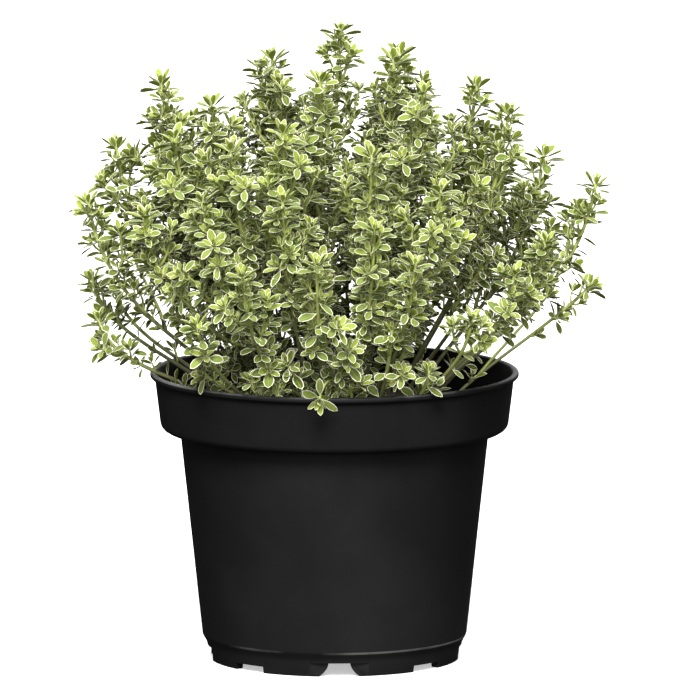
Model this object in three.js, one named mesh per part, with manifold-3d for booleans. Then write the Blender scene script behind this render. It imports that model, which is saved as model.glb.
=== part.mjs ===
// Potted thyme: a bush of variegated garden thyme in a black nursery pot.
// Millimetres, +Z up. The origin is on the pot's axis, on the plane that the pot stands on.
// The photograph looks along +Y, so -Y is the front.
import * as THREE from "three";
import { mergeVertices } from "three/addons/utils/BufferGeometryUtils.js";
import Module from "manifold-3d";

const wasm = await Module();
wasm.setup();

// Pot
const RIM_RADIUS = 65;
const POT_HEIGHT = 102;
const WALL = 1;
const POT_SIDES = 36;
const FOOT_RADIUS = 44.2;
const FOOT_WIDTH = 3.2;
const FOOT_HEIGHT = 4;
const LEDGE_HEIGHT = 8.6;
const BODY_LOW_RADIUS = 46.6;
const BODY_TOP_RADIUS = 54.5;
const BAND_HEIGHT = 81.4;
const BAND_LOW_RADIUS = 61.1;
const BAND_TOP_RADIUS = 63.3;
const NOTCH_TURN = 2.3;
const WIDE_NOTCH = { count: 4, width: 20.5, height: 4.4, depth: 1.4 };
const ARCH = { topWidth: 8, footWidth: 17, height: 4.2 };
const SMALL_NOTCH = { count: 4, width: 13, height: 2.4 };
const DRAIN = { count: 8, radius: 3.4, ring: 33, sides: 6 };

// Soil
const SOIL_TOP = 89;
const SOIL_GAP = 0.3;

// Bush: its outer form, as the half axes of an ellipsoid and the height of its middle
const BUSH = { across: 99, deep: 80, high: 95, centre: 134 };
const VIEW_TILT = THREE.MathUtils.degToRad(8.5);
const BASE_REACH = 45;
const WIDEST_LEAN = THREE.MathUtils.degToRad(110);

// The leading stems that the photograph shows: how far across and how far up their tips are seen, and
// what share of the bush's depth there they stand forward. The rest of the stems follow from a rule.
const LEADERS = [
  [2, 221, 0],
  [-22, 211, -0.5],
  [21, 210, 0.3],
  [50, 201, -0.3],
  [-61, 202, 0.1],
  [-77, 180, -0.6],
  [-90.5, 160, 0.6],
  [-88, 133, -0.3],
  [-83, 119, 0.4],
  [61, 191, 0.6],
  [74, 177, -0.5],
  [88, 166, 0.2],
  [84.5, 130, 0.2],
  [-43, 194, 0.7],
  [-5, 202, 0.9],
  [31, 198, 0.9],
  [-56, 182, 0.9],
  [-66, 155, 0.95],
  [-36, 178, 1],
  [-18, 184, 1],
  [13, 176, 1],
  [-46, 160, 1],
  [37, 164, 1],
  [-18, 160, 1],
  [14, 150, 1],
  [-32, 134, 1],
  [-6, 138, 1],
  [28, 138, 1],
  [-48, 117, 0.9],
  [74, 146, 0.8],
  [63, 135, 0.9],
  [20, 115, 0.85],
  [48, 119, 0.9],
  [-29, 98, 0.75],
  [6, 99, 0.74],
  [33, 101, 0.8],
];
const BACK_STEMS = 13;
const SEED = 41;

// Stems and leaves
const STEM = { foot: 1.15, tip: 0.78, parts: 4, buried: 9, straight: 4 };
const TWIG = { foot: 0.64, tip: 0.64, reach: 17, variety: 9, axil: 1.5 };
const HOLE_GROWTH = 0.5;
const CLEARANCE = 0.3;
const BLADE = 0.62;
const NECK_SHARE = 0.68;
const LEAF_SLIM = 0.57;
const LEAFY_LENGTH = 72;
// Leaf pairs counted from a shoot's tip: how far below the tip, how long, and how steeply they rise
const PAIRS = [
  { below: 2.6, length: 7.8, rise: 56 },
  { below: 6.6, length: 10, rise: 38 },
  { below: 13.4, length: 11, rise: 24 },
  { below: 22, length: 11, rise: 16 },
  { below: 33, length: 10.8, rise: 10 },
];
const TWIG_PAIRS = [
  { below: 2, length: 7.2, rise: 50 },
  { below: 6.9, length: 9.8, rise: 28 },
];
const TWIG_NODES = [22, 33, 15];
const LEAVES_PER_STEM = 12;
const TWIGS_PER_STEM = 1;
const SHORTEST_EDGE = 0.04;

// A repeatable draw from 0 to 1
function drawFrom(seed) {
  let state = (seed * 7919 + 104729) % 2147483647;
  const next = () => {
    state = (state * 16807) % 2147483647;
    return state / 2147483647;
  };
  for (let i = 0; i < 5; i += 1) next();
  return next;
}

// A closed three.js geometry as a solid that can be joined and cut
function solidOf(geometry) {
  const bare = geometry.index ? geometry.toNonIndexed() : geometry.clone();
  bare.deleteAttribute("normal");
  bare.deleteAttribute("uv");
  const merged = mergeVertices(bare, 1e-4);
  return new wasm.Manifold(
    new wasm.Mesh({
      numProp: 3,
      vertProperties: merged.attributes.position.array,
      triVerts: new Uint32Array(merged.index.array),
    }),
  );
}

// Joins the ends of every edge that is too short to matter, and drops the faces that this closes
function facesWithoutShortEdges(positions, faces) {
  const same = Array.from({ length: positions.length / 3 }, (_, i) => i);
  const keptOf = (i) => (same[i] === i ? i : keptOf(same[i]));
  const point = (i) => new THREE.Vector3().fromArray(positions, i * 3);
  for (let i = 0; i < faces.length; i += 1) {
    const a = keptOf(faces[i]);
    const b = keptOf(faces[i % 3 === 2 ? i - 2 : i + 1]);
    if (a !== b && point(a).distanceTo(point(b)) < SHORTEST_EDGE) same[b] = a;
  }
  const kept = new Map();
  for (let i = 0; i < faces.length; i += 3) {
    const face = [keptOf(faces[i]), keptOf(faces[i + 1]), keptOf(faces[i + 2])];
    const key = [...face].sort((a, b) => a - b).join();
    if (new Set(face).size < 3) continue;
    if (kept.has(key)) kept.delete(key);
    else kept.set(key, face);
  }
  return new Uint32Array([...kept.values()].flat());
}

// A solid as a three.js geometry
function geometryOf(solid) {
  const mesh = solid.getMesh();
  const positions = new Float32Array(mesh.numVert * 3);
  for (let i = 0; i < mesh.numVert; i += 1) {
    const at = i * mesh.numProp;
    positions.set(mesh.vertProperties.subarray(at, at + 3), i * 3);
  }
  const geometry = new THREE.BufferGeometry();
  geometry.setAttribute("position", new THREE.BufferAttribute(positions, 3));
  const faces = facesWithoutShortEdges(positions, mesh.triVerts);
  geometry.setIndex(new THREE.BufferAttribute(faces, 1));
  geometry.computeVertexNormals();
  return geometry;
}

// A profile of radii and heights turned round the pot's axis
function turned(profile) {
  const points = profile.map(([radius, height]) => new THREE.Vector2(radius, height));
  const lathe = new THREE.LatheGeometry(points, POT_SIDES);
  lathe.rotateX(Math.PI / 2);
  return solidOf(lathe);
}

// A cutter standing on the ground plane, at a given turn round the pot and distance from its axis
function cutterAt(geometry, turn, distance) {
  geometry.translate(0, distance, 0);
  geometry.rotateZ(turn);
  return solidOf(geometry);
}

// A block that reaches a little below the ground plane
function block(width, depth, height) {
  const geometry = new THREE.BoxGeometry(width, depth, height);
  geometry.translate(0, 0, height / 2 - 1);
  return geometry;
}

// The drain arch in the foot: narrow at the top, flaring to the ground
function arch(depth) {
  const shape = new THREE.Shape();
  shape.moveTo(-ARCH.footWidth / 2, -1);
  shape.lineTo(ARCH.footWidth / 2, -1);
  shape.quadraticCurveTo(ARCH.topWidth / 2 + 1, ARCH.height / 3, ARCH.topWidth / 2, ARCH.height);
  shape.lineTo(-ARCH.topWidth / 2, ARCH.height);
  shape.quadraticCurveTo(-ARCH.topWidth / 2 - 1, ARCH.height / 3, -ARCH.footWidth / 2, -1);
  const geometry = new THREE.ExtrudeGeometry(shape, { depth, bevelEnabled: false, curveSegments: 3 });
  geometry.rotateX(Math.PI / 2);
  geometry.translate(0, depth / 2, 0);
  return geometry;
}

// The pot: one thin wall with its collar, rim and foot ring, and the cuts in its foot and floor
function potSolid() {
  const footInner = FOOT_RADIUS - FOOT_WIDTH;
  let pot = turned([
    [0, FOOT_HEIGHT],
    [footInner - 0.5, FOOT_HEIGHT],
    [footInner, 0],
    [FOOT_RADIUS, 0],
    [FOOT_RADIUS + 0.9, LEDGE_HEIGHT - 2.6],
    [BODY_LOW_RADIUS, LEDGE_HEIGHT],
    [BODY_TOP_RADIUS, BAND_HEIGHT],
    [BAND_LOW_RADIUS, BAND_HEIGHT],
    [BAND_TOP_RADIUS, POT_HEIGHT - 3],
    [RIM_RADIUS, POT_HEIGHT - 2],
    [RIM_RADIUS, POT_HEIGHT - 0.8],
    [RIM_RADIUS - 0.8, POT_HEIGHT],
    [BAND_TOP_RADIUS - 0.2, POT_HEIGHT],
    [BAND_TOP_RADIUS - WALL, POT_HEIGHT - 1.4],
    [BAND_LOW_RADIUS - WALL, BAND_HEIGHT + WALL + 0.4],
    [BODY_TOP_RADIUS - WALL, BAND_HEIGHT + WALL],
    [FOOT_RADIUS - 0.2, FOOT_HEIGHT + WALL],
    [0, FOOT_HEIGHT + WALL],
  ]);
  const quarter = (Math.PI * 2) / WIDE_NOTCH.count;
  const front = Math.PI + THREE.MathUtils.degToRad(NOTCH_TURN);
  for (let i = 0; i < WIDE_NOTCH.count; i += 1) {
    const turn = front + i * quarter;
    const wide = block(WIDE_NOTCH.width, WIDE_NOTCH.depth * 2, WIDE_NOTCH.height + 1);
    pot = pot.subtract(cutterAt(wide, turn, FOOT_RADIUS));
    pot = pot.subtract(cutterAt(arch(FOOT_WIDTH * 3), turn, FOOT_RADIUS - FOOT_WIDTH));
    const small = block(SMALL_NOTCH.width, FOOT_WIDTH * 3, SMALL_NOTCH.height + 1);
    pot = pot.subtract(cutterAt(small, turn + quarter / 2, FOOT_RADIUS - FOOT_WIDTH / 2));
  }
  for (let i = 0; i < DRAIN.count; i += 1) {
    const hole = new THREE.CylinderGeometry(DRAIN.radius, DRAIN.radius, WALL * 4, DRAIN.sides);
    hole.rotateX(Math.PI / 2);
    hole.translate(0, 0, FOOT_HEIGHT + WALL / 2);
    pot = pot.subtract(cutterAt(hole, front + (i * quarter) / 2, DRAIN.ring));
  }
  return pot;
}

// The soil fills the pot to just under its rim
function soilSolid() {
  const bandSlope = (BAND_TOP_RADIUS - BAND_LOW_RADIUS) / (POT_HEIGHT - 3 - BAND_HEIGHT);
  const bandRadius = BAND_LOW_RADIUS - WALL - 2 * SOIL_GAP;
  return turned([
    [0, FOOT_HEIGHT + WALL + SOIL_GAP],
    [FOOT_RADIUS - 0.2 - SOIL_GAP, FOOT_HEIGHT + WALL + SOIL_GAP],
    [BODY_TOP_RADIUS - WALL - SOIL_GAP, BAND_HEIGHT + WALL + SOIL_GAP],
    [bandRadius, BAND_HEIGHT + WALL + 0.4 + SOIL_GAP],
    [bandRadius + bandSlope * (SOIL_TOP - BAND_HEIGHT - WALL), SOIL_TOP],
    [0, SOIL_TOP],
  ]);
}

// Where a leader's tip is: the photograph gives it across and up, and the bush's form its depth
function seenTip([across, up, forward]) {
  const slope = Math.tan(VIEW_TILT);
  const sight = up / Math.cos(VIEW_TILT) - BUSH.centre;
  const a = 1 / BUSH.deep ** 2 + (slope / BUSH.high) ** 2;
  const b = (2 * sight * slope) / BUSH.high ** 2;
  const c = (across / BUSH.across) ** 2 + (sight / BUSH.high) ** 2 - 1;
  const front = (-b + Math.sqrt(Math.max(0, b * b - 4 * a * c))) / (2 * a);
  const depth = forward * front;
  return new THREE.Vector3(across, -depth, (up + depth * Math.sin(VIEW_TILT)) / Math.cos(VIEW_TILT));
}

// The tips behind: spread evenly over the back of the bush's form
function backTip(index, draw) {
  const share = (index + 0.5) / BACK_STEMS;
  const turn = Math.PI * ((index * 0.618034 + 0.1) % 1);
  const high = 1 - 1.2 * share;
  const wide = Math.sqrt(1 - high * high) * (0.88 + 0.05 * draw());
  return new THREE.Vector3(
    BUSH.across * 0.9 * wide * Math.cos(turn),
    BUSH.deep * wide * Math.sin(turn),
    BUSH.centre + BUSH.high * high * 0.88,
  );
}

// A stem's line: straight out of the soil, leaning out to clear the rim, and turning up to its tip
function stemLine(tip, draw) {
  const wide = Math.hypot(tip.x, tip.y);
  const lean = Math.atan2(wide / BUSH.across, (tip.z - BUSH.centre) / BUSH.high) / WIDEST_LEAN;
  const reach = BASE_REACH * Math.min(1, lean) ** 0.85;
  const turn = Math.atan2(tip.y, tip.x) + 0.12 * (draw() - 0.5);
  const foot = new THREE.Vector3(reach * Math.cos(turn), reach * Math.sin(turn), SOIL_TOP);
  const out = new THREE.Vector3(tip.x - foot.x, tip.y - foot.y, 0).normalize();
  const up = new THREE.Vector3(0, 0, 1);
  const rootWay = up.clone().addScaledVector(out, 0.2 + 1.05 * lean ** 1.5).normalize();
  const tipWay = up.clone().addScaledVector(out, 0.1 + 0.25 * lean).normalize();
  const start = foot.clone().addScaledVector(rootWay, STEM.straight);
  const span = start.distanceTo(tip);
  const curve = new THREE.CubicBezierCurve3(
    start,
    start.clone().addScaledVector(rootWay, 0.36 * span),
    tip.clone().addScaledVector(tipWay, -0.34 * span),
    tip,
  );
  const buried = foot.clone().addScaledVector(rootWay, -STEM.buried);
  const joints = [buried, ...curve.getSpacedPoints(STEM.parts)];
  const side = new THREE.Vector3(-out.y, out.x, 0);
  const length = curve.getLength();
  const stretch = Math.max(0.8, Math.sqrt(length / LEAFY_LENGTH));
  return { foot, rootWay, joints, side, size: STEM, turn: 0, stretch, length };
}

// Two directions square to a line's own: to its side, and in the plane that it bends in
function frameOf(line, point, along) {
  const side = line.side.clone().addScaledVector(along, -line.side.dot(along)).normalize();
  return { point, along, side, inner: side.clone().cross(along) };
}

// The frame of a line's joint, where its two parts meet at a mitre
function jointFrame(line, index) {
  const { joints } = line;
  const last = joints.length - 1;
  const before = joints[Math.max(1, index)].clone().sub(joints[Math.max(1, index) - 1]).normalize();
  const next = Math.min(last, index + 1);
  const after = joints[next].clone().sub(joints[next - 1]).normalize();
  const frame = frameOf(line, joints[index], before.clone().add(after).normalize());
  frame.inner.divideScalar(frame.along.dot(after));
  return frame;
}

// The frame at a distance below a line's tip, with the line's half thickness there
function frameBelow(line, below) {
  const { joints, size } = line;
  let left = below;
  for (let i = joints.length - 1; i > 0; i -= 1) {
    const part = joints[i].clone().sub(joints[i - 1]);
    if (left <= part.length() || i === 1) {
      const along = part.clone().normalize();
      const frame = frameOf(line, joints[i].clone().addScaledVector(along, -left), along);
      const share = (i - left / part.length()) / (joints.length - 1);
      return { ...frame, half: THREE.MathUtils.lerp(size.foot, size.tip, share) * Math.SQRT1_2 };
    }
    left -= part.length();
  }
  return null;
}

// A square, tapering stalk along a list of frames, its corners turned from the side by an angle
function stalkSolid(frames, radii, turn) {
  const tube = new THREE.CylinderGeometry(1, 1, 1, 4, frames.length - 1, false, turn);
  const corners = tube.attributes.position;
  for (let i = 0; i < corners.count; i += 1) {
    const ring = Math.round((corners.getY(i) + 0.5) * (frames.length - 1));
    const { point, side, inner } = frames[ring];
    const at = point.clone();
    at.addScaledVector(side, corners.getX(i) * radii[ring]);
    at.addScaledVector(inner, corners.getZ(i) * radii[ring]);
    corners.setXYZ(i, at.x, at.y, at.z);
  }
  return solidOf(tube);
}

// The stalk that follows a line from foot to tip
function lineSolid(line, growth = 0) {
  const frames = line.joints.map((_, i) => jointFrame(line, i));
  const { foot, tip } = line.size;
  const last = frames.length - 1;
  const radii = frames.map((_, i) => THREE.MathUtils.lerp(foot, tip, i / last) + growth);
  return stalkSolid(frames, radii, line.turn);
}

// The plain hole in the soil that a stem stands in
function holeSolid(line) {
  const end = (distance) =>
    frameOf(line, line.foot.clone().addScaledVector(line.rootWay, distance), line.rootWay);
  const frames = [end(-STEM.buried - HOLE_GROWTH), end(STEM.straight + 3)];
  return stalkSolid(frames, [STEM.foot + HOLE_GROWTH, STEM.foot + HOLE_GROWTH], line.turn);
}

// The outward direction of one of a line's four flats
function flatOf(line, frame, quarter) {
  const turn = line.turn + Math.PI * (0.25 + 0.5 * quarter);
  return frame.side.clone().multiplyScalar(Math.sin(turn)).addScaledVector(frame.inner, Math.cos(turn));
}

// The two leaves of a pair, opposite each other, each pair turned a quarter from the last
function pairOfLeaves(line, pair, index) {
  const frame = frameBelow(line, pair.below * line.stretch);
  return [0, 2].map((half) => {
    const out = flatOf(line, frame, index + half);
    const rise = THREE.MathUtils.degToRad(pair.rise);
    const along = out.clone().multiplyScalar(Math.cos(rise)).addScaledVector(frame.along, Math.sin(rise));
    const face = out.clone().multiplyScalar(-Math.sin(rise)).addScaledVector(frame.along, Math.cos(rise));
    const across = face.clone().cross(along);
    const wide = (pair.length * LEAF_SLIM) / 2;
    return { root: frame.point, out, along, face, across, length: pair.length, wide, half: frame.half };
  });
}

// A leaf's outline from its neck to its tip: share of its length, and share of its half width
const LEAF_STATIONS = [
  [0.4, 0.88],
  [0.76, 0.82],
];
const KEEL_AT = 0.24;
// The faces of a leaf over its corners: the neck, two at each station, the keel and the tip
const LEAF_FACES = [
  [0, 2, 1],
  [1, 2, 4],
  [1, 4, 3],
  [3, 4, 6],
  [0, 1, 5],
  [2, 0, 5],
  [1, 3, 5],
  [4, 2, 5],
  [3, 6, 5],
  [6, 4, 5],
].flat();

// How far out from a stem's middle a leaf's pointed neck begins, so that it leaves one flat of the stem
function neckDepth(leaf) {
  const [far, wide] = LEAF_STATIONS[0];
  const share = (NECK_SHARE * leaf.half) / (leaf.wide * wide);
  return (leaf.half - share * leaf.length * far * leaf.along.dot(leaf.out)) / (1 - share);
}

// A leaf: flat above, keeled below, its neck sunk into the stem. Growth swells it for a clearance test.
function leafSolid(leaf, growth = 0) {
  const corner = (distance, sideways, lift) => {
    const at = leaf.root.clone().addScaledVector(leaf.along, distance);
    return at.addScaledVector(leaf.across, sideways).addScaledVector(leaf.face, lift);
  };
  const corners = [leaf.root.clone().addScaledVector(leaf.out, neckDepth(leaf))];
  LEAF_STATIONS.forEach(([far, wide]) => {
    corners.push(corner(leaf.length * far, leaf.wide * wide + growth, growth));
    corners.push(corner(leaf.length * far, -leaf.wide * wide - growth, growth));
  });
  corners.push(corner(leaf.length * KEEL_AT, 0, -BLADE - growth));
  corners.push(corner(leaf.length + growth, 0, 0));
  const geometry = new THREE.BufferGeometry().setFromPoints(corners);
  geometry.setIndex(LEAF_FACES);
  return solidOf(geometry);
}

// A side twig's line: out of a leaf's axil at a slant, and turning up
function twigLine(line, below, quarter, draw) {
  const frame = frameBelow(line, below * line.stretch - TWIG.axil);
  const { point, along } = frame;
  const out = flatOf(line, frame, quarter);
  const length = TWIG.reach + TWIG.variety * draw();
  const bend = point.clone().addScaledVector(out, length * 0.42).addScaledVector(along, length * 0.3);
  const end = bend.clone().addScaledVector(out, length * 0.2).addScaledVector(along, length * 0.42);
  const side = out.clone().cross(along);
  return { joints: [point, bend, end], side, size: TWIG, turn: Math.PI / 4, stretch: 1, length };
}

// What stands in the way so far, so that no leaf or twig crosses another stem or another leaf
class Taken {
  constructor() {
    this.solids = [];
  }

  add(solid, owner) {
    this.solids.push({ solid, owner, box: solid.boundingBox() });
  }

  isClear(solid, except) {
    const box = solid.boundingBox();
    return this.solids.every((other) => {
      if (except.includes(other.owner)) return true;
      const apart = [0, 1, 2].some((k) => box.min[k] > other.box.max[k] || box.max[k] < other.box.min[k]);
      return apart || solid.intersect(other.solid).isEmpty();
    });
  }
}

// Every stem's line: the leaders in front, and the rest behind
function stemLines() {
  const lines = LEADERS.map((leader, i) => stemLine(seenTip(leader), drawFrom(SEED + i)));
  for (let i = 0; i < BACK_STEMS; i += 1) {
    const draw = drawFrom(SEED + LEADERS.length + i);
    lines.push(stemLine(backTip(i, draw), draw));
  }
  return lines;
}

const pot = potSolid();
const lines = stemLines();
const soil = lines.reduce((solid, line) => solid.subtract(holeSolid(line)), soilSolid());

const taken = new Taken();
taken.add(pot, "pot");
taken.add(soil, "soil");
const stems = lines.map((line, i) => {
  const owner = `stem_${i}`;
  if (!taken.isClear(lineSolid(line, CLEARANCE / 2), [])) console.warn(owner, "is crowded");
  const solid = lineSolid(line);
  taken.add(solid, owner);
  return { owner, line, parts: [solid], leaves: 0, twigs: 0 };
});

// Adds leaves or a twig to a stem if they are clear of everything but what they grow from
function grow(stem, owner, from, makers) {
  if (!makers.every((make) => taken.isClear(make(CLEARANCE), from))) return false;
  makers.forEach((make) => {
    const solid = make(0);
    stem.parts.push(solid);
    taken.add(solid, owner);
  });
  return true;
}

// Adds a pair of leaves, or the one of them that has room, while the stem may still carry more
function growPair(stem, owner, line, pair, turn) {
  if (stem.leaves >= LEAVES_PER_STEM) return;
  const makers = pairOfLeaves(line, pair, turn).map((leaf) => (growth) => leafSolid(leaf, growth));
  if (grow(stem, "leaf", [owner], makers)) {
    stem.leaves += 2;
    return;
  }
  makers.forEach((make) => {
    if (grow(stem, "leaf", [owner], [make])) stem.leaves += 1;
  });
}

PAIRS.slice(0, 2).forEach((pair, turn) => {
  stems.forEach((stem) => growPair(stem, stem.owner, stem.line, pair, turn));
});
stems.forEach((stem, index) => {
  const draw = drawFrom(SEED * 3 + index);
  TWIG_NODES.forEach((below, node) => {
    const quarter = node + 1 + 2 * Math.floor(2 * draw());
    if (stem.twigs >= TWIGS_PER_STEM || below > stem.line.length * 0.7) return;
    const line = twigLine(stem.line, below, quarter, draw);
    const owner = `${stem.owner}_twig_${node}`;
    if (!grow(stem, owner, [stem.owner], [(growth) => lineSolid(line, growth)])) return;
    stem.twigs += 1;
    TWIG_PAIRS.forEach((pair, turn) => growPair(stem, owner, line, pair, turn));
  });
});
PAIRS.slice(2).forEach((pair, turn) => {
  stems.forEach((stem) => {
    if (pair.below < stem.line.length * 0.7) growPair(stem, stem.owner, stem.line, pair, turn);
  });
});

const potPlastic = new THREE.MeshStandardMaterial({ color: 0x1e1f1f, roughness: 0.55, metalness: 0 });
const peat = new THREE.MeshStandardMaterial({ color: 0x2a211b, roughness: 1, metalness: 0 });
const foliage = new THREE.MeshStandardMaterial({ color: 0x8ea35c, roughness: 0.6, metalness: 0 });

const plant = new THREE.Group();

// Adds a solid to the plant under its name
function place(name, solid, material) {
  const mesh = new THREE.Mesh(geometryOf(solid), material);
  mesh.name = name;
  plant.add(mesh);
}

place("pot", pot, potPlastic);
place("soil", soil, peat);
stems.forEach(({ parts }, i) => {
  place(`leafy_stem_${String(i + 1).padStart(2, "0")}`, wasm.Manifold.union(parts), foliage);
});

export default plant;
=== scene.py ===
"""Potted thyme: a bush of variegated garden thyme in a black nursery pot.

Sizes are in millimetres until a piece is finished. +Z is up and -Y is the front.
"""
import logging
import math
from collections.abc import Iterable
from dataclasses import dataclass, field
from enum import Enum

import bmesh
import bpy
from bmesh.types import BMesh, BMVert
from bpy.types import Material, Mesh, Node, NodeOutputs, NodeSocket, NodeTree, Object
from mathutils import Matrix, Vector, noise
from mathutils.geometry import interpolate_bezier


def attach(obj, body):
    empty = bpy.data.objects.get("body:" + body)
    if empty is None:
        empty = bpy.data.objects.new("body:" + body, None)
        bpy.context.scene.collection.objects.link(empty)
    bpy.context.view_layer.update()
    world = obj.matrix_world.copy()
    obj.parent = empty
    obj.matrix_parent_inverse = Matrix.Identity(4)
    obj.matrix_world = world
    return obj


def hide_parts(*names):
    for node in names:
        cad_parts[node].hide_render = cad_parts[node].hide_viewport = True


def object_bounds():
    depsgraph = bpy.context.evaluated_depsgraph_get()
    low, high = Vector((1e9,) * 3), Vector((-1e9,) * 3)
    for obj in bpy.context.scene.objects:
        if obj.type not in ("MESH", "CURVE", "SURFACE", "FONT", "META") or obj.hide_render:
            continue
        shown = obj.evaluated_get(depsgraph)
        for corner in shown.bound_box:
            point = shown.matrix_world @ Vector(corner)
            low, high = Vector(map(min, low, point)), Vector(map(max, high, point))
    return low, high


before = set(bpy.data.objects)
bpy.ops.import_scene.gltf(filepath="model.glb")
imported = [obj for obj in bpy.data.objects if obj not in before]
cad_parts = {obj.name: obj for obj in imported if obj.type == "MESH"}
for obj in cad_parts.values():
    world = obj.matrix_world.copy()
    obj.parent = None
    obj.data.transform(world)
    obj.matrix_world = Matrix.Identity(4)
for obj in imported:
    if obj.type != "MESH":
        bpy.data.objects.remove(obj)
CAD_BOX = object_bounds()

LOG = logging.getLogger("potted_thyme")
MM = 0.001
UP = Vector((0, 0, 1))
# How far the photograph looks down, read from the ellipses of the rim and the foot
VIEW_TILT = math.radians(8.5)
# The bush's form, an ellipsoid: its half measures across, deep and high, and its middle's height
BUSH_REACH = (99.0, 80.0, 95.0)
BUSH_CENTRE = 134.0
# The room that the leaves keep to: over the rim, outside it, or inside it and over the soil
OVER_RIM, OUTSIDE_RIM, INSIDE_RIM, OVER_SOIL = 103.2, 67.0, 58.8, 90.5
# A leaf and the one opposite it, in quarter turns round their shoot
PAIR = (0, 2)

# The sockets of a colour Mix node, which share their names with other types' sockets
FACTOR, MIX_A, MIX_B, MIXED = 0, 6, 7, 2

# Rows of numbers
Table = tuple[tuple[float, ...], ...]


def srgb(code: str) -> tuple[float, float, float, float]:
    """Turn a colour into the linear values that Blender works in.

    Args:
        code: The colour as an sRGB hex value, such as "#8FA06A".

    Returns:
        Linear red, green, blue and an opaque alpha.
    """
    shares = [int(code[i : i + 2], 16) / 255 for i in (1, 3, 5)]
    linear = [s / 12.92 if s <= 0.04045 else ((s + 0.055) / 1.055) ** 2.4 for s in shares]
    return (*linear, 1.0)


def per_metre(size_mm: float) -> float:
    """The scale of a pattern whose marks measure this many millimetres."""
    return 1 / (size_mm * MM)


def feed(node: Node, inputs: dict) -> None:
    """Give a node its values and links.

    Args:
        node: The node.
        inputs: Values or source sockets by the input's name or number.
    """
    for key, value in inputs.items():
        if isinstance(value, NodeSocket):
            node.id_data.links.new(value, node.inputs[key])
        else:
            node.inputs[key].default_value = value


def add_node(tree: NodeTree, kind: str, inputs: dict | None = None, **settings) -> NodeOutputs:
    """Add a shader node with its settings, values and links.

    Args:
        tree: The node tree that gets the node.
        kind: The node's type name, after ShaderNode.
        inputs: Values or source sockets by the input's name or number.
        **settings: The node's own properties.

    Returns:
        The new node's outputs.
    """
    node = tree.nodes.new("ShaderNode" + kind)
    for name, value in settings.items():
        setattr(node, name, value)
    feed(node, inputs or {})
    return node.outputs


def new_material(name: str) -> tuple[Material, NodeTree, Node, NodeSocket]:
    """Start a material from a bare surface shader.

    Args:
        name: What the material is.

    Returns:
        The material, its node tree, its surface shader and the place on the object.
    """
    material = bpy.data.materials.new(name)
    material.use_nodes = True
    tree = material.node_tree
    return material, tree, tree.nodes["Principled BSDF"], add_node(tree, "TexCoord")["Object"]


def dress(
    surface: Node,
    base: str,
    coats: Iterable[tuple[NodeSocket, str]],
    gloss: tuple[NodeSocket, float, float],
    relief: tuple[NodeSocket, float, float],
) -> None:
    """Give a surface its colours, its gloss and its fine relief.

    Args:
        surface: The material's surface shader.
        base: The colour that lies under the others.
        coats: Where each further colour lies, and that colour.
        gloss: The pattern that the roughness follows, and its values at 0 and 1.
        relief: The pattern that the bump follows, its strength, and its depth in millimetres.
    """
    tree = surface.id_data
    colour = srgb(base)
    for share, code in coats:
        mix = {FACTOR: share, MIX_A: colour, MIX_B: srgb(code)}
        colour = add_node(tree, "Mix", mix, data_type="RGBA")[MIXED]
    pattern, low, high = gloss
    rough = add_node(tree, "MapRange", {"Value": pattern, "To Min": low, "To Max": high})
    height, strength, depth = relief
    bump = add_node(tree, "Bump", {"Height": height, "Strength": strength, "Distance": depth * MM})
    feed(surface, {"Base Color": colour, "Roughness": rough["Result"], "Normal": bump["Normal"]})


def as_mesh(shape: BMesh, name: str) -> Mesh:
    """Turn a shape into a named mesh, which uses the shape up.

    Args:
        shape: The shape.
        name: The mesh's name.

    Returns:
        The mesh.
    """
    data = bpy.data.meshes.new(name)
    shape.to_mesh(data)
    shape.free()
    return data


def new_points(added: dict) -> list[BMVert]:
    """The points among the parts that an operator has added."""
    return [part for part in added["geom"] if isinstance(part, BMVert)]


def close(shape: BMesh) -> None:
    """Fill a shape's open ends and turn its faces outwards.

    Args:
        shape: The shape.
    """
    bmesh.ops.holes_fill(shape, edges=[edge for edge in shape.edges if edge.is_boundary], sides=0)
    bmesh.ops.recalc_face_normals(shape, faces=shape.faces[:])


def matrix_of(*columns: Vector) -> Matrix:
    """The matrix that takes the three axes and the origin to four vectors."""
    return Matrix((*zip(*columns), (0, 0, 0, 1)))


def piece_from(shape: BMesh, name: str, materials: Iterable[Material]) -> Object:
    """Finish a shape made in millimetres as an object in metres, in its place.

    Args:
        shape: The piece's faces, which this uses up.
        name: The piece's name.
        materials: Its materials, in the order of its faces' numbers.

    Returns:
        The linked object.
    """
    data = as_mesh(shape, name)
    data.transform(Matrix.Scale(MM, 4))
    for material in materials:
        data.materials.append(material)
    piece = bpy.data.objects.new(name, data)
    bpy.context.scene.collection.objects.link(piece)
    return piece


def seat(piece: Object, slot: str, *nodes: str) -> Object:
    """Place a finished piece on the frame, in place of its CAD nodes.

    Args:
        piece: The finished piece.
        slot: The record's material slot for its finish; not used.
        *nodes: The CAD nodes that it stands for.

    Returns:
        The same piece.
    """
    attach(piece, "root")
    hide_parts(*nodes)
    return piece


class Draw:
    """A repeatable run of numbers."""

    # The usual minimal generator's multiplier and modulus, and two primes that part near seeds
    STEP, MODULUS = 16807, 2147483647
    SPREAD, START = 7919, 104729

    def __init__(self, seed: int) -> None:
        """Start the run from a seed."""
        self.state = (seed * self.SPREAD + self.START) % self.MODULUS
        for _ in range(5):
            self.share()

    def share(self) -> float:
        """The next number from 0 to 1."""
        self.state = (self.state * self.STEP) % self.MODULUS
        return self.state / self.MODULUS

    def between(self, low: float, high: float) -> float:
        """The next number from low to high."""
        return low + (high - low) * self.share()

    def near(self, middle: float, spread: float) -> float:
        """The next number within a spread to either side of a middle."""
        return middle + spread * (2 * self.share() - 1)


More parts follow.
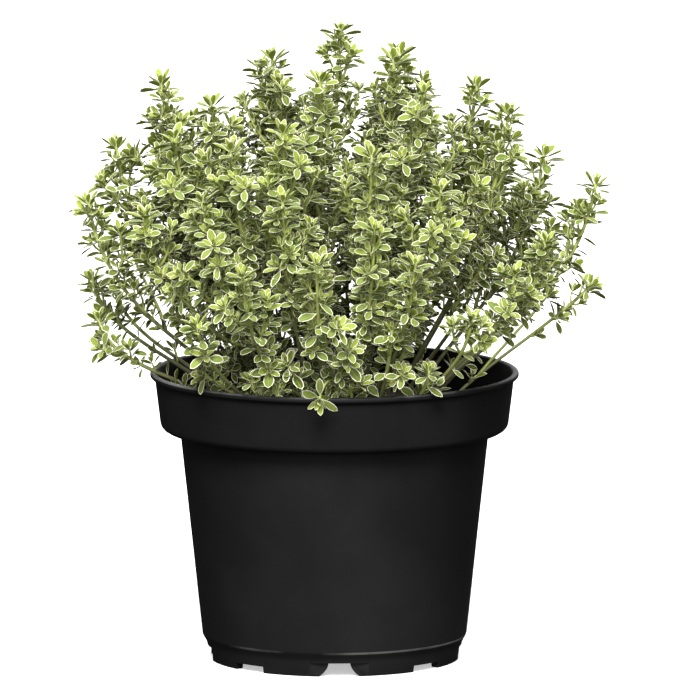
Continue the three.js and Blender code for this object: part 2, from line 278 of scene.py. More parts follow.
@dataclass(frozen=True)
class MouldedPolypropylene:
    """Black polypropylene, injection moulded: satin, with a fine grain from the mould."""

    black: str = "#191919"
    worn: str = "#202020"
    # The pale grey of a painted highlight along the rim's top and the foot's ledge
    painted_highlight: str = "#7C7C79"
    roughness: float = 0.55
    ior: float = 1.49
    specular: float = 0.12
    # The clouds of wear, and the values of their pattern where wear starts and where it is full
    cloud_mm: float = 35.7
    wear: tuple[float, float] = (0.42, 0.72)
    # Mould grain is about 0.1 mm and is drawn coarser, so that the render can show it
    grain_mm: float = 0.45
    # The heights of the edges that get a painted highlight, a pale band broken up by the wear
    # pattern: the rim's top and the foot's ledge
    highlight_heights_mm: Table = ((101.5, 102.1), (8.1, 8.9))

    def material(self) -> Material:
        """The pot's plastic: near black, a little greyer in random worn patches, with a painted
        highlight along the rim's top and the foot's ledge.

        Returns:
            The material.
        """
        material, tree, surface, place = new_material("black moulded polypropylene")
        height = add_node(tree, "SeparateXYZ", {"Vector": place})["Z"]
        cloud, grain = (
            add_node(tree, "TexNoise", {"Vector": place, "Scale": per_metre(size), "Detail": fine})
            for size, fine in ((self.cloud_mm, 4.0), (self.grain_mm, 2.0))
        )
        start, full = self.wear
        # The wear pattern: random worn patches, which also break up the painted highlights
        wear = {"Value": cloud["Fac"], "From Min": start, "From Max": full}
        wear_and_highlight_breakup = add_node(tree, "MapRange", wear)["Result"]
        coats = [(wear_and_highlight_breakup, self.worn)]
        # Painted highlight: a pale band at each height, where the light catches the edge, broken up
        # by the wear pattern
        for low, high in self.highlight_heights_mm:
            band = {0: height, 1: (low + high) / 2 * MM, 2: (high - low) / 2 * MM}
            edge = {0: add_node(tree, "Math", band, operation="COMPARE")[0], 1: wear_and_highlight_breakup}
            coats.append((add_node(tree, "Math", edge, operation="MULTIPLY")[0], self.painted_highlight))
        gloss = (cloud["Fac"], self.roughness - 0.06, self.roughness + 0.08)
        dress(surface, self.black, coats, gloss, (grain["Fac"], 0.12, 0.05))
        feed(surface, {"IOR": self.ior, "Specular IOR Level": self.specular})
        return material


@dataclass(frozen=True)
class MoistPeat:
    """Moist peat growing medium: dark, crumbly and matt, with paler fibres."""

    dark: str = "#1B130E"
    dry: str = "#4A382A"
    fibre: str = "#6B5138"
    crumb_mm: float = 1.6
    patch_mm: float = 11.11
    specular: float = 0.2

    def material(self) -> Material:
        """The soil's crumbs: darkest where they are wet, browner on their dry tops.

        Returns:
            The material.
        """
        material, tree, surface, place = new_material("moist peat")
        coats, patterns = [], []
        # Each pattern's size, its detail, and the colour that it brings between two of its values
        for size, fine, code, start, full in (
            (self.patch_mm, 3.0, self.dry, 0.45, 0.75),
            (self.crumb_mm, 6.0, self.fibre, 0.6, 0.72),
        ):
            marks = {"Vector": place, "Scale": per_metre(size), "Detail": fine}
            patterns.append(add_node(tree, "TexNoise", marks)["Fac"])
            reach = {"Value": patterns[-1], "From Min": start, "From Max": full}
            coats.append((add_node(tree, "MapRange", reach)["Result"], code))
        patch, crumb = patterns
        dress(surface, self.dark, coats, (patch, 0.75, 1.0), (crumb, 0.9, 0.6))
        feed(surface, {"Specular IOR Level": self.specular})
        return material


@dataclass(frozen=True)
class VariegatedLeaf:
    """Thyme leaf skin: matt, minutely hairy, grey green with a cream edge, and lime while young."""

    young: str = "#ACBB4C"
    grown: str = "#80924E"
    # The dark green of painted shade, which leaves deep inside the bush are mixed towards
    deep: str = "#2D3A00"
    cream: str = "#FFFCDE"
    rib: str = "#98A74A"
    below: str = "#76882C"
    ior: float = 1.42
    specular: float = 0.1
    # The cream edge, the fade at its inner side and its waviness, as shares of the leaf's length
    edge: float = 0.029
    edge_fade: float = 0.012
    edge_wave: float = 0.045
    # The side veins' slant, and the angle that their wave runs through in a leaf's length
    vein_slant: float = -0.9
    vein_waves: float = 38.0
    blotch_mm: float = 2.381
    # The glands that scent the leaf are about 0.1 mm across and are drawn coarser, to show at all
    gland_mm: float = 0.3

    def material(self) -> Material:
        """The leaf's skin, from the attributes that each leaf's points carry.

        Returns:
            The material.
        """
        material, tree, surface, place = new_material("variegated thyme leaf")
        (across, along, rim), (age, tint, under) = (
            add_node(
                tree,
                "SeparateXYZ",
                {"Vector": add_node(tree, "Attribute", attribute_name=name)["Vector"]},
            )
            for name in ("blade", "growth")
        )
        marks = {"Vector": place, "Scale": per_metre(self.blotch_mm), "Detail": 3.0}
        blotch = add_node(tree, "TexNoise", marks)["Fac"]
        # A leaf greens from its tip: its foot stays lime longest, which gives rosettes their hearts
        green = {"Value": along, "From Min": 0.05, "From Max": 0.45, "To Min": 0.35}
        green = add_node(tree, "MapRange", green, interpolation_type="SMOOTHSTEP")["Result"]
        # Painted shade: the dark green, stronger in random blotches, as far as each leaf's tint
        # takes it; that tint is mostly how deep inside the bush the leaf sits
        dusk = {"Value": blotch, "From Min": 0.3, "From Max": 0.6, "To Min": 0.6}
        dusk = add_node(tree, "MapRange", dusk)["Result"]
        vein = self.vein(tree, across, along)
        glands = {"Vector": place, "Scale": per_metre(self.gland_mm)}
        gland = add_node(tree, "TexVoronoi", glands, feature="F1")["Distance"]
        ripe, shade, relief = (
            add_node(tree, "Math", {0: first, 1: second}, operation=operation)[0]
            for first, second, operation in (
                (green, age, "MULTIPLY"),
                (dusk, tint, "MULTIPLY"),
                (gland, vein, "SUBTRACT"),
            )
        )
        coats = [(ripe, self.grown), (shade, self.deep), (vein, self.rib), (under, self.below)]
        coats.append((self.margin(tree, rim, blotch), self.cream))
        dress(surface, self.young, coats, (blotch, 0.42, 0.68), (relief, 0.35, 0.08))
        feed(surface, {"IOR": self.ior, "Specular IOR Level": self.specular})
        return material

    def vein(self, tree: NodeTree, across: NodeSocket, along: NodeSocket) -> NodeSocket:
        """Where the midrib and the slanting side veins run.

        Args:
            tree: The material's nodes.
            across: The distance from the midrib, as a share of the leaf's length.
            along: The distance from the leaf's foot, as a share of its length.

        Returns:
            A socket that is near 1 on a vein.
        """
        off = add_node(tree, "Math", {0: across}, operation="ABSOLUTE")[0]
        slant = {0: off, 1: self.vein_slant, 2: along}
        slant = add_node(tree, "Math", slant, operation="MULTIPLY_ADD")[0]
        phase = {0: slant, 1: self.vein_waves}
        phase = add_node(tree, "Math", phase, operation="MULTIPLY")[0]
        wave = add_node(tree, "Math", {0: phase}, operation="SINE")[0]
        midrib, side = (
            add_node(tree, "MapRange", reach, interpolation_type="SMOOTHSTEP")["Result"]
            for reach in (
                {"Value": off, "From Max": 0.03, "To Min": 0.7, "To Max": 0.0},
                {"Value": wave, "From Min": 0.75, "To Max": 0.3},
            )
        )
        return add_node(tree, "Math", {0: midrib, 1: side}, operation="MAXIMUM")[0]

    def margin(self, tree: NodeTree, rim: NodeSocket, wobble: NodeSocket) -> NodeSocket:
        """Where the cream edge lies.

        Args:
            tree: The material's nodes.
            rim: The distance from the leaf's outline, as a share of its length.
            wobble: A slow pattern that makes the edge wider and narrower.

        Returns:
            A socket that is 1 on the cream edge.
        """
        wavy = {0: wobble, 1: self.edge_wave, 2: rim}
        wavy = add_node(tree, "Math", wavy, operation="MULTIPLY_ADD")[0]
        start = self.edge + self.edge_wave / 2
        end = start + self.edge_fade
        fade = {"Value": wavy, "From Min": start, "From Max": end, "To Min": 1.0, "To Max": 0.0}
        return add_node(tree, "MapRange", fade, interpolation_type="SMOOTHSTEP")["Result"]


@dataclass(frozen=True)
class GreenStem:
    """Thyme stem: square, finely downy, light olive green, and brown and woody at the foot."""

    green: str = "#ACB566"
    shaded: str = "#909A50"
    woody: str = "#6A6A4C"
    specular: float = 0.35
    # The bark's streaks are about 0.2 mm wide and are drawn coarser, five times as long as wide
    streak_mm: float = 1.111
    streak_stretch: float = 0.2

    def material(self) -> Material:
        """The stem's bark: green towards the tip, with fine streaks along it.

        Returns:
            The material.
        """
        material, tree, surface, place = new_material("downy thyme stem")
        growth = add_node(tree, "Attribute", attribute_name="growth")["Vector"]
        wood, tint, _ = add_node(tree, "SeparateXYZ", {"Vector": growth})
        drawn = {"Vector": place, "Scale": (1.0, 1.0, self.streak_stretch)}
        drawn = add_node(tree, "Mapping", drawn)["Vector"]
        marks = {"Vector": drawn, "Scale": per_metre(self.streak_mm), "Detail": 3.0}
        streak = add_node(tree, "TexNoise", marks)["Fac"]
        coats = [(streak, self.shaded), (wood, self.woody)]
        dress(surface, self.green, coats, (tint, 0.5, 0.7), (streak, 0.4, 0.1))
        feed(surface, {"Specular IOR Level": self.specular})
        return material


@dataclass(frozen=True)
class StudioPaper:
    """Matt white background paper."""

    white: str = "#FAFAFA"
    # Paper's tooth is about 0.2 mm and is drawn coarser
    tooth_mm: float = 1.4286
    # Lit a little from below as well, as a product table is, so that shadows stay faint
    glow: float = 0.5

    def material(self) -> Material:
        """The floor's paper, with the faint tooth of its surface.

        Returns:
            The material.
        """
        material, tree, surface, place = new_material("white background paper")
        marks = {"Vector": place, "Scale": per_metre(self.tooth_mm), "Detail": 2.0}
        tooth = add_node(tree, "TexNoise", marks)["Fac"]
        relief = {"Height": tooth, "Strength": 0.05, "Distance": 0.1 * MM}
        white = srgb(self.white)
        finish = {
            "Base Color": white,
            "Roughness": 0.9,
            "Normal": add_node(tree, "Bump", relief)["Normal"],
            "Specular IOR Level": 0.1,
            "Emission Color": white,
            "Emission Strength": self.glow,
        }
        feed(surface, finish)
        return material


@dataclass
class NurseryPot:
    """The pot: one thin wall with a collar, a rolled rim and a notched foot ring."""

    rim_radius: float = 65.0
    height: float = 102.0
    wall: float = 1.0
    foot_radius: float = 44.2
    foot_width: float = 3.2
    foot_height: float = 4.4
    ledge_height: float = 8.6
    body_low_radius: float = 46.6
    body_top_radius: float = 54.5
    band_height: float = 81.4
    band_low_radius: float = 61.1
    band_top_radius: float = 63.3
    sides: int = 180
    # The cuts in the foot: the first's turn from the front in degrees, how many of each there
    # are, and their cutters' width, depth and height. An arch is narrower at its top than at the
    # ground.
    notch_turn: float = 2.3
    notch_count: int = 4
    wide_notch: tuple[float, float, float] = (20.8, 1.9, 4.9)
    small_notch: tuple[float, float, float] = (13.0, 10.0, 2.4)
    arch: tuple[float, float, float] = (14.4, 12.0, 4.9)
    arch_top: float = 7.6
    drain_radius: float = 3.4
    drain_ring: float = 33.0
    # Edges that turn by more than this stay sharp, in degrees
    sharp_turn: float = 38.0
    finish: MouldedPolypropylene = field(default_factory=MouldedPolypropylene)

    def profile(self) -> list[tuple[float, float, float]]:
        """The wall's corners, from under the floor round to above it.

        Returns:
            Each corner's radius, height and rounding.
        """
        inner = self.foot_radius - self.foot_width
        band, top, wall = self.band_height, self.height, self.wall
        return [
            (0.0, self.foot_height, 0.0),
            (inner - 0.5, self.foot_height, 0.5),
            (inner, 0.0, 0.4),
            (self.foot_radius, 0.0, 0.4),
            (self.foot_radius + 0.9, self.ledge_height - 2.6, 1.0),
            (self.body_low_radius, self.ledge_height, 0.5),
            (self.body_top_radius, band, 1.0),
            (self.band_low_radius, band, 2.4),
            (self.band_top_radius, top - 2.6, 0.6),
            (self.rim_radius, top - 1.7, 0.5),
            (self.rim_radius, top, 0.8),
            (self.band_top_radius - 0.5, top, 0.8),
            (self.band_top_radius - wall - 0.2, top - 2.6, 0.8),
            (self.band_low_radius - wall, band + wall, 1.6),
            (self.body_top_radius - wall, band + wall, 0.8),
            (self.foot_radius - 0.2, self.foot_height + wall, 1.0),
            (0.0, self.foot_height + wall, 0.0),
        ]

    def shell(self) -> BMesh:
        """The wall's outline with its corners rounded, spun about the pot's axis.

        Returns:
            The closed wall.
        """
        mesh = bmesh.new()
        corners = [
            (mesh.verts.new((radius, 0, height)), rounding)
            for radius, height, rounding in self.profile()
        ]
        for (here, _), (after, _) in zip(corners, corners[1:]):
            mesh.edges.new((here, after))
        rounded = {"segments": 4, "profile": 0.5, "affect": "VERTICES", "material": -1}
        for corner, rounding in corners:
            if rounding:
                bmesh.ops.bevel(mesh, geom=[corner], offset=rounding, **rounded)
        bmesh.ops.spin(
            mesh,
            geom=mesh.verts[:] + mesh.edges[:],
            axis=UP,
            cent=(0, 0, 0),
            steps=self.sides,
            angle=math.tau,
            use_merge=True,
        )
        bmesh.ops.remove_doubles(mesh, verts=mesh.verts[:], dist=0.001)
        bmesh.ops.recalc_face_normals(mesh, faces=mesh.faces[:])
        return mesh

    def around(self, cutter: BMesh, distance: float, turn: float, count: int) -> BMesh:
        """Copies of a cutter, evenly round the pot.

        Args:
            cutter: The cutter, standing at the middle, which this uses up.
            distance: How far from the pot's axis each copy stands.
            turn: The first copy's turn from the front, in degrees.
            count: How many copies there are.

        Returns:
            All the copies.
        """
        single = as_mesh(cutter, "cutter")
        ring = bmesh.new()
        single.transform(Matrix.Translation((0, -distance, 0)))
        single.transform(Matrix.Rotation(math.radians(turn), 4, "Z"))
        for _ in range(count):
            ring.from_mesh(single)
            single.transform(Matrix.Rotation(math.tau / count, 4, "Z"))
        bpy.data.meshes.remove(single)
        return ring

    def block(self, width: float, depth: float, height: float) -> BMesh:
        """A block cutter, from 1 mm below the ground up to a height.

        Args:
            width: Its width across the foot ring's face.
            depth: Its depth through the ring.
            height: How far up it cuts.

        Returns:
            The block.
        """
        mesh = bmesh.new()
        bmesh.ops.create_cube(mesh, size=1)
        bmesh.ops.scale(mesh, vec=(width, depth, height + 1), verts=mesh.verts[:])
        bmesh.ops.translate(mesh, vec=(0, 0, (height - 1) / 2), verts=mesh.verts[:])
        return mesh

    def arch_cutter(self) -> BMesh:
        """The drain arch's cutter: narrow at its top, flaring to the ground.

        Returns:
            The cutter.
        """
        foot, depth, height = self.arch
        mesh = bmesh.new()
        steps = 6
        outline = [(foot / 2, -1.0)]
        for step in range(steps + 1):
            share = step / steps
            half = foot / 2 + (self.arch_top / 2 - foot / 2) * math.sin(share * math.pi / 2) ** 0.8
            outline.append((half, height * share))
        points = outline + [(-x, z) for x, z in reversed(outline)]
        face = mesh.faces.new([mesh.verts.new((x, -depth / 2, z)) for x, z in points])
        side = bmesh.ops.extrude_face_region(mesh, geom=[face])
        bmesh.ops.translate(mesh, vec=(0, depth, 0), verts=new_points(side))
        bmesh.ops.recalc_face_normals(mesh, faces=mesh.faces[:])
        return mesh

    def drain_cutter(self) -> BMesh:
        """A round drain hole's cutter.

        Returns:
            The cutter.
        """
        mesh = bmesh.new()
        radii = {"radius1": self.drain_radius, "radius2": self.drain_radius}
        bmesh.ops.create_cone(mesh, cap_ends=True, segments=24, depth=6, **radii)
        floor = self.foot_height + self.wall / 2
        bmesh.ops.translate(mesh, vec=(0, 0, floor), verts=mesh.verts[:])
        return mesh

    def cutters(self) -> list[BMesh]:
        """All that is cut out of the foot and the floor.

        Returns:
            The rings of cutters.
        """
        turn, count = self.notch_turn, self.notch_count
        small_turn = turn + 180 / count
        ring = self.foot_radius - self.foot_width / 2
        return [
            self.around(self.block(*self.wide_notch), self.foot_radius, turn, count),
            self.around(self.arch_cutter(), ring, turn, count),
            self.around(self.block(*self.small_notch), ring, small_turn, count),
            self.around(self.drain_cutter(), self.drain_ring, turn, count * 2),
        ]

    def build(self) -> Object:
        """The finished pot.

        Returns:
            The pot as one piece.
        """
        piece = piece_from(self.shell(), "nursery_pot", [self.finish.material()])
        helpers = [piece_from(cutter, "cutter", []) for cutter in self.cutters()]
        for helper in helpers:
            cut = piece.modifiers.new("cut", "BOOLEAN")
            cut.operation = "DIFFERENCE"
            cut.solver = "EXACT"
            cut.object = helper
        bpy.context.view_layer.update()
        dressed = piece.evaluated_get(bpy.context.evaluated_depsgraph_get())
        cut_mesh = bpy.data.meshes.new_from_object(dressed)
        piece.modifiers.clear()
        piece.data = cut_mesh
        for helper in helpers:
            bpy.data.objects.remove(helper)
        cut_mesh.shade_smooth()
        cut_mesh.set_sharp_from_angle(angle=math.radians(self.sharp_turn))
        return seat(piece, "pot", "pot")


@dataclass
class PottingSoil:
    """The growing medium: a plug that fills the pot to just under its rim, with crumbs on top."""

    top: float = 88.4
    top_radius: float = 60.0
    # The plug's wall below its top: radius and height, inside the collar, under it and at the foot
    wall: Table = ((59.4, 83.2), (53.1, 82.8), (43.6, 5.7))
    sides: int = 150
    rings: int = 34
    roughness: float = 1.5
    # The crumbs and the straws on top, how far they keep from the wall, and how large they are
    crumbs: int = 900
    straws: int = 60
    wall_room: float = 2.5
    crumb_sizes: tuple[float, float] = (0.5, 1.9)
    straw_lengths: tuple[float, float] = (2.0, 5.0)
    straw_half: tuple[float, float] = (0.25, 0.22)
    seed: int = 7
    finish: MoistPeat = field(default_factory=MoistPeat)

    def plug(self) -> BMesh:
        """The plug: a disc inset ring by ring, roughened, over a plain tapering body.

        Returns:
            The closed plug.
        """
        mesh = bmesh.new()
        bmesh.ops.create_circle(mesh, cap_ends=True, segments=self.sides, radius=self.top_radius)
        step = self.top_radius / (self.rings + 1)
        for _ in range(self.rings):
            middle = max(mesh.faces, key=lambda face: len(face.verts))
            bmesh.ops.inset_region(mesh, faces=[middle], thickness=step, use_even_offset=False)
        for vert in mesh.verts:
            # The relief fades out over the last eighth of the way to the wall
            edge = min(1.0, (1 - vert.co.xy.length / self.top_radius) * 8)
            vert.co.z = self.top + edge * self.relief(vert.co)
        for radius, height in self.wall:
            rim = [edge for edge in mesh.edges if edge.is_boundary]
            for vert in new_points(bmesh.ops.extrude_edge_only(mesh, edges=rim)):
                vert.co = Vector((*(vert.co.xy.normalized() * radius), height))
        close(mesh)
        return mesh

    def relief(self, at: Vector) -> float:
        """How far the soil's surface rises over its mean height at a place."""
        flat = Vector((at.x, at.y, 0))
        return self.roughness * (noise.noise(flat * 0.06) + 0.6 * noise.noise(flat * 0.35))

    def crumb(self) -> Mesh:
        """One uneven crumb of about unit radius.

        Returns:
            The crumb.
        """
        lump = bmesh.new()
        bmesh.ops.create_icosphere(lump, subdivisions=1, radius=1)
        for vert in lump.verts:
            vert.co *= 1 + 0.35 * noise.noise(vert.co * 2.3)
        return as_mesh(lump, "crumb")

    def build(self) -> Object:
        """The finished soil.

        Returns:
            The soil as one piece.
        """
        mesh = self.plug()
        draw = Draw(self.seed)
        crumb = self.crumb()
        for index in range(self.crumbs + self.straws):
            reach = (self.top_radius - self.wall_room) * math.sqrt(draw.share())
            turn = draw.between(0, math.tau)
            at = Vector((reach * math.cos(turn), reach * math.sin(turn), 0))
            at.z = self.top + self.relief(at)
            size = draw.between(*self.crumb_sizes) * draw.between(0.6, 1)
            stretch = (size, size * draw.between(0.6, 1), size * draw.between(0.5, 0.9))
            if index >= self.crumbs:
                wide, thick = self.straw_half
                stretch = (wide, draw.between(*self.straw_lengths), thick)
            copy = crumb.copy()
            copy.transform(
                Matrix.Translation(at)
                @ Matrix.Rotation(draw.between(0, math.tau), 4, "Z")
                @ Matrix.Rotation(draw.near(0, 0.3), 4, "X")
                @ Matrix.Diagonal((*stretch, 1))
            )
            mesh.from_mesh(copy)
            bpy.data.meshes.remove(copy)
        bpy.data.meshes.remove(crumb)
        for face in mesh.faces:
            face.smooth = len(face.verts) == 4
        return seat(piece_from(mesh, "peat_soil", [self.finish.material()]), "soil", "soil")


class LeafForm(Enum):
    """How a thyme leaf is held, by its age.

    Each gives its half width, its sides' rise and its tip's droop, as shares of its length.
    """

    HEART = (0.24, 0.6, -0.12)
    YOUNG = (0.235, 0.5, -0.05)
    FULL = (0.225, 0.34, 0.06)
    ARCHED = (0.21, 0.16, 0.18)
    BROAD = (0.26, 0.38, 0.0)


@dataclass(frozen=True)
class LeafBlade:
    """One leaf of unit length: a thin closed blade, pointed at its foot, with a sunken midrib."""

    form: LeafForm
    twist: float = 0.0
    # The outline from foot to tip: share of the length, and share of the half width
    grown_outline: Table = ((0, 0), (0.19, 0.33), (0.43, 0.9), (0.66, 1), (0.87, 0.7), (1, 0))
    young_outline: Table = ((0, 0), (0.22, 0.46), (0.54, 1), (0.84, 0.72), (1, 0))
    # The strip beside the edge, how far it stands up over the midrib, and the blade's thickness
    rim_zone: float = 0.075
    rim_lift: float = 0.06
    thickness: float = 0.045
    # Meridians of the sphere that becomes the blade, by their turn in degrees
    edges: tuple[int, int] = (0, 180)
    strips: tuple[int, int] = (45, 135)
    keel: int = 270

    @property
    def is_young(self) -> bool:
        """Whether this is one of the many small leaves, which have fewer points."""
        return self.form in (LeafForm.HEART, LeafForm.YOUNG)

    @property
    def outline(self) -> Table:
        """The outline for this form."""
        return self.young_outline if self.is_young else self.grown_outline

    def mesh(self) -> Mesh:
        """The blade: a sphere of four or eight meridians, pressed flat.

        Returns:
            The blade, with its measures in its points.
        """
        mesh = bmesh.new()
        rows = len(self.outline) - 1
        meridians = 4 if self.is_young else 8
        bmesh.ops.create_uvsphere(mesh, u_segments=meridians, v_segments=rows, radius=1)
        blade = mesh.verts.layers.float_vector.new("blade")
        growth = mesh.verts.layers.float_vector.new("growth")
        spare = [edge for edge in mesh.edges if all(map(self.is_spare, edge.verts))]
        bmesh.ops.dissolve_edges(mesh, edges=spare, use_verts=True)
        for vert in mesh.verts:
            row = round((1 - math.acos(max(-1, min(1, vert.co.z))) / math.pi) * rows)
            turn = round(math.degrees(math.atan2(vert.co.y, vert.co.x))) % 360
            vert.co, vert[blade] = self.place(row, turn)
            vert[growth] = (0, 0, 1 if turn == self.keel and 0 < row < rows else 0)
        for edge in mesh.edges:
            edge.smooth = not all(vert[blade].z == 0 for vert in edge.verts)
        for face in mesh.faces:
            face.smooth = True
        bmesh.ops.recalc_face_normals(mesh, faces=mesh.faces[:])
        return as_mesh(mesh, self.form.name.lower())

    def is_spare(self, vert: BMVert) -> bool:
        """Whether a point is an end, or on a meridian that the underside does without."""
        return abs(vert.co.z) > 0.999 or (vert.co.y < -0.01 and abs(vert.co.x) > 0.01)

    def place(self, row: int, turn: int) -> tuple[Vector, Vector]:
        """Where a point of the sphere goes on the blade.

        Args:
            row: The point's ring, counted from the leaf's foot.
            turn: The point's turn round the leaf in degrees, where 90 is the midrib.

        Returns:
            The point, and its measures: across, along, and in from the edge.
        """
        half, rise, droop = self.form.value
        along, share = self.outline[row]
        wide = half * share
        inward = wide
        if turn in self.edges:
            inward = 0.0
        elif turn in self.strips:
            inward = min(self.rim_zone, 0.5 * wide)
        across = (wide - inward) * (1 if turn in (self.edges[0], self.strips[0]) else -1)
        lift = rise * abs(across) ** 1.3 - droop * along**2
        if turn in self.strips:
            lift += self.rim_lift * wide
        if turn == self.keel:
            lift -= self.thickness * min(1, share * 2)
        skew = self.twist * along
        point = Vector((across + skew * lift, along, lift + skew * across))
        return point, Vector((across, along, inward))


@dataclass
class Shoot:
    """A growing line: points from foot to tip, a way square to it, and its radius at both ends."""

    points: list[Vector]
    side: Vector
    foot_radius: float
    tip_radius: float

    def __post_init__(self) -> None:
        """Measure the line."""
        self.lengths = [(b - a).length for a, b in zip(self.points, self.points[1:])]
        self.length = sum(self.lengths)

    def frame(self, below: float) -> tuple[Vector, Vector, Vector, Vector]:
        """The place at a distance below the tip.

        Args:
            below: The distance along the line.

        Returns:
            The point, the direction to the tip, and two directions square to it.
        """
        left = below
        for index in range(len(self.lengths) - 1, -1, -1):
            if left <= self.lengths[index] or index == 0:
                break
            left -= self.lengths[index]
        start, end = self.points[index], self.points[index + 1]
        along = (end - start).normalized()
        side = (self.side - along * self.side.dot(along)).normalized()
        return end.lerp(start, left / self.lengths[index]), along, side, side.cross(along)

    def radius(self, below: float) -> float:
        """The half thickness at a distance below the tip."""
        share = min(1, below / self.length)
        return self.tip_radius + (self.foot_radius - self.tip_radius) * share

    def section(self, below: float) -> Matrix:
        """The line's section, as the matrix that takes a unit circle to it.

        Args:
            below: The distance below the tip.

        Returns:
            The matrix.
        """
        point, along, side, inner = self.frame(below)
        radius = self.radius(below)
        return matrix_of(side * radius, inner * radius, along, point)

    def stalk(self, sides: int, spacing: float, wood: float, tint: float) -> Mesh:
        """The stalk along the line: a circle extruded from its foot to its tip.

        Args:
            sides: How many sides the stalk has.
            spacing: The distance between its rings.
            wood: How woody its foot is, from 0 to 1.
            tint: The stalk's own shade, from 0 to 1.

        Returns:
            The stalk as a closed mesh, its faces numbered for the stem's material.
        """
        mesh = bmesh.new()
        growth = mesh.verts.layers.float_vector.new("growth")
        mesh.verts.layers.float_vector.new("blade")
        steps = max(2, round(self.length / spacing))
        verts = bmesh.ops.create_circle(mesh, cap_ends=True, segments=sides, radius=1)["verts"]
        last = Matrix.Identity(4)
        for step in range(steps + 1):
            below = self.length * (1 - step / steps)
            if step:
                edges = [edge for edge in mesh.edges if all(vert in verts for vert in edge.verts)]
                verts = new_points(bmesh.ops.extrude_edge_only(mesh, edges=edges))
            here = self.section(below)
            bmesh.ops.transform(mesh, matrix=here @ last.inverted(), verts=verts)
            last = here
            # The wood gives way to green over the middle of the line
            ripe = min(1, max(0, below / self.length - 0.2) / 0.4)
            for vert in verts:
                vert[growth] = (wood * ripe, tint, 0)
        close(mesh)
        for face in mesh.faces:
            face.smooth = True
            face.material_index = 1
        return as_mesh(mesh, "stalk")


def is_inside(point: Vector, margin: float) -> bool:
    """Whether a point lies inside the CAD model's box, by a margin."""
    low, high = CAD_BOX
    return all(low[i] / MM + margin < point[i] < high[i] / MM - margin for i in range(3))


def is_clear(point: Vector) -> bool:
    """Whether a point is over the rim, outside it, or inside it and over the soil.

    Args:
        point: The point.

    Returns:
        Whether a leaf may be there.
    """
    reach = point.xy.length
    over_soil = reach < INSIDE_RIM and point.z > OVER_SOIL
    return point.z > OVER_RIM or reach > OUTSIDE_RIM or over_soil


def openness(point: Vector) -> float:
    """How open to the light a point is: from 0 well inside the bush to 1 at its surface.

    Args:
        point: The point.

    Returns:
        The share of light.
    """
    wide, deep, high = BUSH_REACH
    share = Vector((point.x / wide, point.y / deep, (point.z - BUSH_CENTRE) / high)).length
    return min(1.0, max(0.0, (share - 0.55) / 0.38))


